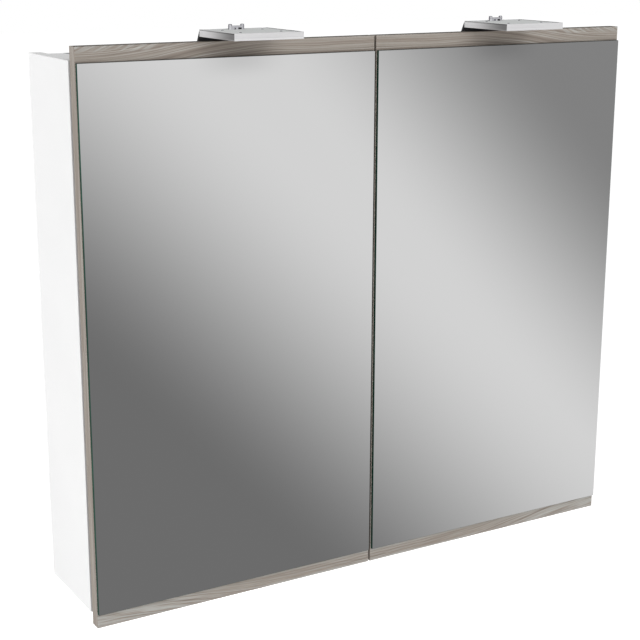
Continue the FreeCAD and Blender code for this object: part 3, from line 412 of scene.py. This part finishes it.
def silveredFloatGlass():
    look = mirrorLook
    material, tree, here, facing = startMaterial("silveredFloatGlass")
    front = faceMask(tree, facing, "front", look["frontFrom"])
    wave = addNode(tree, "ShaderNodeTexNoise", {"Scale": patternScale(look["wave"]), "Detail": 2.0},
                   {"Vector": here})
    cut = addNode(tree, "ShaderNodeValToRGB", {"stops": toneStops(look["edgeSpread"], look["edge"])},
                  {"Fac": wave})
    # painted shade: the upward face of the edge is darker than the rest of the edge
    upper = faceMask(tree, facing, "up", look["topFrom"])
    edge = addNode(tree, "ShaderNodeMix", {"data_type": "RGBA", 7: linear(look["top"])}, {0: upper, 6: cut})
    axes = addNode(tree, "ShaderNodeSeparateXYZ", links={"Vector": here})
    # painted shade from the lamps darkens the silver near its top edge
    paintedLampShade = shadeUnderLamps(tree, axes, lampShade["below"], lampShade["onGlass"])
    silver = addNode(tree, "ShaderNodeVectorMath", {"operation": "SCALE", 0: linear(look["silver"])[:3]},
                     {"Scale": paintedLampShade})
    colour = addNode(tree, "ShaderNodeMix", {"data_type": "RGBA"}, {0: front, 6: edge, 7: silver})
    rough = addNode(tree, "ShaderNodeMapRange", {outRange: look["roughness"]}, {"Value": front})
    finishMaterial(tree, {"Specular IOR Level": look["specular"]},
                   {"Base Color": colour, "Metallic": front, "Roughness": rough})
    return material


# clear float glass: nearly colourless through its faces, green where the light runs along the pane
shelfLook = {"face": "#F2FAF6", "faceFrom": 0.7, "edge": "#7FBFA6", "edgeClear": 0.25, "haze": 45,
             "roughness": (0.0, 0.03), "ior": 1.52}


def clearFloatGlass():
    look = shelfLook
    material, tree, here, facing = startMaterial("clearFloatGlass")
    face = faceMask(tree, facing, "up", look["faceFrom"], bothWays=True)
    colour = addNode(tree, "ShaderNodeMix",
                     {"data_type": "RGBA", 6: linear(look["edge"]), 7: linear(look["face"])}, {0: face})
    haze = addNode(tree, "ShaderNodeTexNoise", {"Scale": patternScale(look["haze"])}, {"Vector": here})
    rough = addNode(tree, "ShaderNodeMapRange", {outRange: look["roughness"]}, {"Value": haze})
    clear = addNode(tree, "ShaderNodeMapRange", {outRange: (look["edgeClear"], 1.0)}, {"Value": face})
    finishMaterial(tree, {"IOR": look["ior"]},
                   {"Base Color": colour, "Roughness": rough, "Transmission Weight": clear})
    return material


# brushed aluminium under clear lacquer: long scratches that run level round the frame, drawn coarser than
# real so that they show, and on the sides a painted reflection that is light at the rear and darkens towards
# the front corners, with a painted dark line below the top rim and a painted highlight along the foot
brushLook = {"tone": ("#E0DFE0", "#F2F1F2"), "toneSpread": (0.35, 0.65), "scratch": (160, 160, 0.8),
             "scratchDepth": 0.1, "scratchStrength": 0.08, "sides": (1.15, 0.28), "sideFrom": 0.7,
             "shadeBelowRim": (1.5, 1.2), "shadeBelowRimTone": 0.5, "foot": (1.3, 0.9), "footTone": 0.5,
             "metallic": 0.5, "roughness": (0.3, 0.46)}


def paintedLightOnLampSides(tree, here, facing):
    # no change on the front and rear; on the sides a painted reflection, light at the rear and dark at the
    # front, with painted shade below the rim and a painted highlight along the foot
    look = brushLook
    low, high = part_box("left_lamp_frame")
    axes = addNode(tree, "ShaderNodeSeparateXYZ", links={"Vector": here})
    side = faceMask(tree, facing, "side", look["sideFrom"], bothWays=True)
    drift = addNode(tree, "ShaderNodeMapRange",
                    {"interpolation_type": "SMOOTHSTEP", inRange: (high.y, low.y), outRange: look["sides"]},
                    {"Value": axes.outputs["Y"]})
    # painted highlight along the foot of the sides
    foot = addNode(tree, "ShaderNodeMapRange",
                   {"interpolation_type": "SMOOTHSTEP",
                    inRange: [low.z + metres(rise) for rise in look["foot"]]}, {"Value": axes.outputs["Z"]})
    footTone = addNode(tree, "ShaderNodeMath", {"operation": "MAXIMUM", 1: look["footTone"]}, {0: drift})
    footed = addNode(tree, "ShaderNodeMix", links={0: foot, 2: drift, 3: footTone})
    # painted shade in a thin band below the top rim
    shadeBelowRim = addNode(tree, "ShaderNodeMapRange",
                     {"interpolation_type": "SMOOTHSTEP",
                      inRange: [high.z - metres(drop) for drop in look["shadeBelowRim"]],
                      outRange: (1.0, look["shadeBelowRimTone"])}, {"Value": axes.outputs["Z"]})
    shadedBelowRim = addNode(tree, "ShaderNodeMath", {"operation": "MULTIPLY"}, {0: footed, 1: shadeBelowRim})
    return addNode(tree, "ShaderNodeMix", {2: 1.0}, {0: side, 3: shadedBelowRim})


def brushedAluminium():
    look = brushLook
    material, tree, here, facing = startMaterial("brushedAluminium")
    scale = tuple(map(patternScale, look["scratch"]))
    scratch = stretchedNoise(tree, here, scale, {"Detail": 3.0, "Roughness": 0.6})
    tone = addNode(tree, "ShaderNodeValToRGB", {"stops": toneStops(look["toneSpread"], look["tone"])},
                   {"Fac": scratch})
    colour = addNode(tree, "ShaderNodeVectorMath", {"operation": "SCALE"},
                     {0: tone, "Scale": paintedLightOnLampSides(tree, here, facing)})
    rough = addNode(tree, "ShaderNodeMapRange", {outRange: look["roughness"]}, {"Value": scratch})
    bump = addNode(tree, "ShaderNodeBump",
                   {"Strength": look["scratchStrength"], "Distance": metres(look["scratchDepth"])},
                   {"Height": scratch})
    finishMaterial(tree, {"Metallic": look["metallic"]},
                   {"Base Color": colour, "Roughness": rough, "Normal": bump})
    return material


# bright nickel plate: painted reflection, light where it faces the room and dark where it turns away, as
# polished pieces look indoors
nickelLook = {"tones": ("#5A585F", "#98969E", "#C9C7CE", "#F2F1F5"), "turns": (0.35, 0.66, 0.8, 0.94),
              "towards": (-0.46, -0.83, -0.3), "swirl": 4, "metallic": 0.8, "roughness": (0.1, 0.22)}


def brightNickelPlate():
    look = nickelLook
    material, tree, here, facing = startMaterial("brightNickelPlate")
    # the tone is painted light and shade, set by which way each face turns
    towards = addNode(tree, "ShaderNodeVectorMath", {"operation": "DOT_PRODUCT", 1: look["towards"]},
                      {0: facing})
    tone = addNode(tree, "ShaderNodeValToRGB", {"stops": toneStops(look["turns"], look["tones"])},
                   {"Fac": towards})
    swirl = addNode(tree, "ShaderNodeTexNoise", {"Scale": patternScale(look["swirl"])}, {"Vector": here})
    rough = addNode(tree, "ShaderNodeMapRange", {outRange: look["roughness"]}, {"Value": swirl})
    finishMaterial(tree, {"Metallic": look["metallic"]}, {"Base Color": tone, "Roughness": rough})
    return material


# metals, coats and mouldings that differ in tone, grain and gloss: colours from dark to light, and the grain
# in millimetres
plainLooks = {
    "mattAnodisedAluminium": {"tones": ("#DADDDC", "#EAECEB"), "grain": 0.9, "metallic": 1.0,
                              "roughness": (0.45, 0.6), "bump": 0.05},  # pale grey with a soft sheen
    "blackPowderCoat": {"tones": ("#3F3F42", "#4D4D50"), "grain": 1.1, "metallic": 0.0,
                        "roughness": (0.45, 0.62), "bump": 0.15},  # soft black, finely pebbled
    "blackenedSteel": {"tones": ("#8C8A90", "#A2A0A6"), "grain": 0.8, "metallic": 1.0,
                       "roughness": (0.35, 0.5), "bump": 0.05},  # grey metal with a dull shine
    "zincPlatedSteel": {"tones": ("#B4B8BB", "#D3D6D7"), "grain": 5, "metallic": 1.0,
                        "roughness": (0.22, 0.42), "bump": 0.03},  # bright and a little cloudy
    "galvanisedSteel": {"tones": ("#85888B", "#A9ACAE"), "grain": 7, "metallic": 1.0,
                        "roughness": (0.38, 0.55), "bump": 0.04},  # dull grey and cloudy
    "hotStampedFoil": {"tones": ("#232427", "#34353A"), "grain": 0.5, "metallic": 0.0,
                       "roughness": (0.35, 0.5), "bump": 0.05},  # flat dark print
    "opalAcrylic": {"tones": ("#F2F1EC", "#F5F4F0"), "grain": 20, "metallic": 0.0,
                    "roughness": (0.22, 0.3), "bump": 0.0},  # even milky white
    "mouldedAbs": {"tones": ("#E6E6E3", "#EFEFEC"), "grain": 0.9, "metallic": 0.0,
                   "roughness": (0.4, 0.55), "bump": 0.12},  # off-white, finely pebbled
    "mouldedNylon": {"tones": ("#E9E9E5", "#F2F2EE"), "grain": 9, "metallic": 0.0,
                     "roughness": (0.2, 0.3), "bump": 0.0},  # smooth glossy white
    "mouldedRubber": {"tones": ("#101010", "#1D1D1D"), "grain": 1.4, "metallic": 0.0,
                      "roughness": (0.65, 0.8), "bump": 0.15},  # matt black
    "clearPolyurethane": {"tones": ("#DDE0DF", "#E9ECEB"), "grain": 3, "metallic": 0.0,
                          "roughness": (0.12, 0.22), "bump": 0.0},  # pale glossy drops
    "glassEpoxyBoard": {"tones": ("#0F4A2C", "#1C6B41"), "grain": 2.2, "metallic": 0.0,
                        "roughness": (0.3, 0.4), "bump": 0.05},  # green under a clear coat
    "turnedBeech": {"tones": ("#B98E62", "#D3AE82"), "grain": 1.5, "metallic": 0.0,
                    "roughness": (0.55, 0.7), "bump": 0.1},  # warm pale brown, matt
}
plainGrain = {"spread": (0.3, 0.7), "depth": 0.3}  # alike in all of them


def plainFinish(name):
    look = plainLooks[name]
    material, tree, here = startMaterial(name)[:3]
    grain = addNode(tree, "ShaderNodeTexNoise", {"Scale": patternScale(look["grain"]), "Detail": 3.0},
                    {"Vector": here})
    colour = addNode(tree, "ShaderNodeValToRGB", {"stops": toneStops(plainGrain["spread"], look["tones"])},
                     {"Fac": grain})
    rough = addNode(tree, "ShaderNodeMapRange", {outRange: look["roughness"]}, {"Value": grain})
    links = {"Base Color": colour, "Roughness": rough}
    if look["bump"]:
        links["Normal"] = addNode(tree, "ShaderNodeBump",
                                  {"Strength": look["bump"], "Distance": metres(plainGrain["depth"])},
                                  {"Height": grain})
    finishMaterial(tree, {"Metallic": look["metallic"]}, links)
    return material


finishes = {
    "white_board": melamineBoard(), "white_hardboard": lacqueredHardboard(),
    "wood_decor": printedWoodDecor(), "mirror_glass": silveredFloatGlass(),
    "shelf_glass": clearFloatGlass(), "brushed_aluminium": brushedAluminium(),
    "grey_plate": plainFinish("mattAnodisedAluminium"), "black_steel": plainFinish("blackPowderCoat"),
    "bright_metal": brightNickelPlate(), "dark_screw": plainFinish("blackenedSteel"),
    "zinc_steel": plainFinish("zincPlatedSteel"), "opal_acrylic": plainFinish("opalAcrylic"),
    "white_plastic": plainFinish("mouldedAbs"), "switch_plastic": plainFinish("mouldedNylon"),
    "black_rubber": plainFinish("mouldedRubber"), "clear_bumper": plainFinish("clearPolyurethane"),
    "circuit_board": plainFinish("glassEpoxyBoard"), "beech": plainFinish("turnedBeech"),
}
hangerFinish = plainFinish("galvanisedSteel")  # the hangers are of duller zinc than the hinges
markFinish = plainFinish("hotStampedFoil")
slotOf = {part["node"]: part["material_slot"] for part in frame["record"]["subparts"]}
for name, node in nodes.items():
    node.data.materials.clear()
    node.data.materials.append(hangerFinish if name.endswith("wall_hanger") else finishes[slotOf[name]])
print("finishes:", len(finishes), "slots on", len(nodes), "nodes")


def addToScene(name, data):
    added = bpy.data.objects.new(name, data)
    bpy.context.scene.collection.objects.link(added)
    return added


def addMesh(name, bm, material):
    mesh = bpy.data.meshes.new(name)
    bm.to_mesh(mesh)
    bm.free()
    mesh.materials.append(material)
    return addToScene(name, mesh)


# marks on the rocker: a bar for on at the top and a ring for off below, sizes in millimetres, and the angles
# from upright between which their halves of the rocker slope
rockerMarks = {"bar": (0.6, 3.4), "barSlope": (15, 25), "ring": (1.7, 1.25), "ringSides": 40,
               "ringSlope": (0, 5), "proud": 0.06, "sunk": 0.03}


def rockerFace(slope):
    # middle and outward direction of the half that slopes so
    shallow, steep = (-math.cos(math.radians(angle)) for angle in slope)
    faces = [face for face in nodes["switch_rocker"].data.polygons if shallow <= face.normal.y <= steep]
    area = sum(face.area for face in faces)
    middle = sum((face.center * face.area for face in faces), Vector()) / area
    return middle, faces[0].normal.copy()


def addRockerMark(name, bm, slope):
    middle, out = rockerFace(slope)
    across = Vector((1, 0, 0))
    turn = Matrix((across, out.cross(across), out)).transposed().to_4x4()
    bmesh.ops.solidify(bm, geom=bm.faces[:], thickness=metres(rockerMarks["proud"] + rockerMarks["sunk"]))
    bmesh.ops.recalc_face_normals(bm, faces=bm.faces)
    back = min(vert.co.z for vert in bm.verts)
    bmesh.ops.translate(bm, verts=bm.verts, vec=(0, 0, -back - metres(rockerMarks["sunk"])))
    bmesh.ops.transform(bm, verts=bm.verts, matrix=Matrix.Translation(middle) @ turn)
    mark = addMesh(name, bm, markFinish)
    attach(mark, "rocker")


def addOnMark():
    wide, tall = map(metres, rockerMarks["bar"])
    bm = bmesh.new()
    bmesh.ops.create_grid(bm, x_segments=1, y_segments=1, size=0.5)
    bmesh.ops.scale(bm, vec=(wide, tall, 1), verts=bm.verts)
    addRockerMark("rocker_on_mark", bm, rockerMarks["barSlope"])


def addOffMark():
    outer, inner = map(metres, rockerMarks["ring"])
    bm = bmesh.new()
    bmesh.ops.create_circle(bm, cap_ends=True, radius=outer, segments=rockerMarks["ringSides"])
    disc = bm.faces[:]
    bmesh.ops.inset_region(bm, faces=disc, thickness=outer - inner, use_boundary=True, use_even_offset=True)
    bmesh.ops.delete(bm, geom=disc, context="FACES_ONLY")
    addRockerMark("rocker_off_mark", bm, rockerMarks["ringSlope"])


addOnMark()
addOffMark()
print("marks on the rocker added")


# camera at the photograph's viewing angle: place and farthest view in metres, turns in degrees, lens and
# sensor in millimetres
photoCamera = {"place": (-0.98789, -1.69356, 0.1862), "yaw": 30.4957, "pitch": 14.9449, "roll": 0.1559,
               "lens": 80.83, "sensor": 36, "farthest": 200}


def cameraAxes():
    yaw, pitch = math.radians(photoCamera["yaw"]), math.radians(photoCamera["pitch"])
    forward = Vector((math.sin(yaw) * math.cos(pitch), math.cos(yaw) * math.cos(pitch), -math.sin(pitch)))
    right = Vector((math.cos(yaw), -math.sin(yaw), 0))
    return forward, right, right.cross(forward)


def addCamera():
    data = bpy.data.cameras.new("photoCamera")
    data.sensor_width = photoCamera["sensor"]
    data.lens = photoCamera["lens"]
    data.clip_end = photoCamera["farthest"]
    camera = addToScene("photoCamera", data)
    camera.rotation_mode = "QUATERNION"
    roll = Quaternion((0, 0, 1), math.radians(photoCamera["roll"]))
    camera.rotation_quaternion = cameraAxes()[0].to_track_quat("-Z", "Y") @ roll
    camera.location = photoCamera["place"]
    bpy.context.scene.camera = camera


# white studio: white to the eye, even light on the object, and a room that polished pieces reflect, with soft
# slanting grey bands in front, a light ceiling and a grey wall behind
studio = {"ambient": 0.5, "ceiling": 0.95, "skyline": (-0.03, 0.12), "behind": 0.62,
          "behindFrom": (-0.05, 0.15), "floorTone": "#F4F4F4", "floorGlow": 0.6, "floorDrop": 1.3,
          "floorSize": 60}
# the bands: a slant in degrees, and how light the room is at each share of the way across it
bandLevels = {"light": 0.72, "shade": 0.4, "far": 0.243, "dark": 0.165}
bands = [
    {"slant": 47.7, "stops": ((0.0, "light"), (0.14, "shade"), (0.29, "light"), (0.375, "dark"),
                              (0.4356, "dark"), (0.5353, "light"))},
    {"slant": 39.4, "stops": ((0.542, "light"), (0.6134, "far"), (0.64, "far"), (0.76, "light"),
                              (0.9, "shade"))},
]


def bandsInFront(tree, where):
    # the slants are those in the photograph, turned as a mirror turns them, and the darker band shows
    intoMirror = Vector((1, -1, 1))
    right, up = (axis * intoMirror for axis in cameraAxes()[1:])
    ramps = []
    for band in bands:
        slant = math.radians(band["slant"])
        acrossBand = right * math.cos(slant) + up * math.sin(slant)
        along = addNode(tree, "ShaderNodeVectorMath", {"operation": "DOT_PRODUCT", 1: acrossBand}, {0: where})
        # from -1 to 1 becomes 0 to 1
        share = addNode(tree, "ShaderNodeMath", {"operation": "MULTIPLY_ADD", 1: 0.5, 2: 0.5}, {0: along})
        tones = [(position, grey(bandLevels[level])) for position, level in band["stops"]]
        ramps.append(addNode(tree, "ShaderNodeValToRGB", {"interpolation": "EASE", "stops": tones},
                             {"Fac": share}))
    return addNode(tree, "ShaderNodeMix", {"data_type": "RGBA", "blend_type": "DARKEN", 0: 1.0},
                   {6: ramps[0], 7: ramps[1]})


def seenByCamera(tree, rays):
    # straight on or through glass
    return addNode(tree, "ShaderNodeMath", {"operation": "MAXIMUM"},
                   {0: rays.outputs["Is Camera Ray"], 1: rays.outputs["Is Transmission Ray"]})


def addWorld():
    world = bpy.data.worlds.new("whiteStudio")
    bpy.context.scene.world = world
    world.use_nodes = True
    tree = world.node_tree
    tree.nodes.clear()
    where = addNode(tree, "ShaderNodeTexCoord").outputs["Generated"]
    axes = addNode(tree, "ShaderNodeSeparateXYZ", links={"Vector": where})
    overhead = addNode(tree, "ShaderNodeMapRange",
                       {"interpolation_type": "SMOOTHSTEP", inRange: studio["skyline"]},
                       {"Value": axes.outputs["Z"]})
    inFront = addNode(tree, "ShaderNodeMix", {"data_type": "RGBA", 7: grey(studio["ceiling"])},
                      {0: overhead, 6: bandsInFront(tree, where)})
    rearward = addNode(tree, "ShaderNodeMapRange",
                       {"interpolation_type": "SMOOTHSTEP", inRange: studio["behindFrom"]},
                       {"Value": axes.outputs["Y"]})
    allRound = addNode(tree, "ShaderNodeMix", {"data_type": "RGBA", 7: grey(studio["behind"])},
                       {0: rearward, 6: inFront})
    even = addNode(tree, "ShaderNodeBackground", {"Color": grey(1.0), "Strength": studio["ambient"]})
    gloss = addNode(tree, "ShaderNodeBackground", links={"Color": allRound})
    white = addNode(tree, "ShaderNodeBackground", {"Color": grey(1.0)})
    rays = addNode(tree, "ShaderNodeLightPath")
    mirrored = addNode(tree, "ShaderNodeMixShader",
                       links={0: rays.outputs["Is Glossy Ray"], 1: even, 2: gloss})
    shown = addNode(tree, "ShaderNodeMixShader", links={0: seenByCamera(tree, rays), 1: mirrored, 2: white})
    addNode(tree, "ShaderNodeOutputWorld", links={"Surface": shown})


# soft boxes: place, aim and width in metres, power in watts
softBoxes = {
    "frontBox": {"place": (0.2, -3.2, 1.0), "aim": (0, 0, -0.3), "size": 3.2, "power": 58.5},
    "leftBox": {"place": (-3.4, 0.1, -0.1), "aim": (-0.4, -0.06, -0.3), "size": 2.4, "power": 49},
    "rightBox": {"place": (3.4, 0.1, -0.3), "aim": (0.4, -0.06, -0.3), "size": 2.0, "power": 25},
    "rearBox": {"place": (0.4, 3.2, -0.7), "aim": (0, 0, -0.4), "size": 2.0, "power": 25},
}


def addSoftBoxes():
    for name, box in softBoxes.items():
        data = bpy.data.lights.new(name, "AREA")
        data.size = box["size"]
        data.energy = box["power"]
        lamp = addToScene(name, data)
        lamp.location = box["place"]
        lamp.rotation_mode = "QUATERNION"
        lamp.rotation_quaternion = (Vector(box["aim"]) - Vector(box["place"])).to_track_quat("-Z", "Y")
        lamp.visible_glossy = False


def addFloor():
    # matt and pale, and to the eye nearly as white as the studio
    material, tree = emptyMaterial("paleStudioFloor")
    matt = addNode(tree, "ShaderNodeBsdfDiffuse", {"Color": linear(studio["floorTone"])})
    glow = addNode(tree, "ShaderNodeEmission", {"Color": grey(1.0), "Strength": studio["floorGlow"]})
    lifted = addNode(tree, "ShaderNodeAddShader", links={0: matt, 1: glow})
    seen = seenByCamera(tree, addNode(tree, "ShaderNodeLightPath"))
    shown = addNode(tree, "ShaderNodeMixShader", links={0: seen, 1: matt, 2: lifted})
    addNode(tree, "ShaderNodeOutputMaterial", links={"Surface": shown})
    bm = bmesh.new()
    bmesh.ops.create_grid(bm, x_segments=1, y_segments=1, size=studio["floorSize"] / 2)
    bmesh.ops.translate(bm, verts=bm.verts, vec=(0, 0, cadBounds[0].z - studio["floorDrop"]))
    floor = addMesh("studioFloor", bm, material)
    floor.visible_glossy = False


addCamera()
addWorld()
addSoftBoxes()
addFloor()
bpy.context.scene.view_settings.view_transform = "Standard"
print("studio: camera, world,", len(softBoxes), "soft boxes and floor")
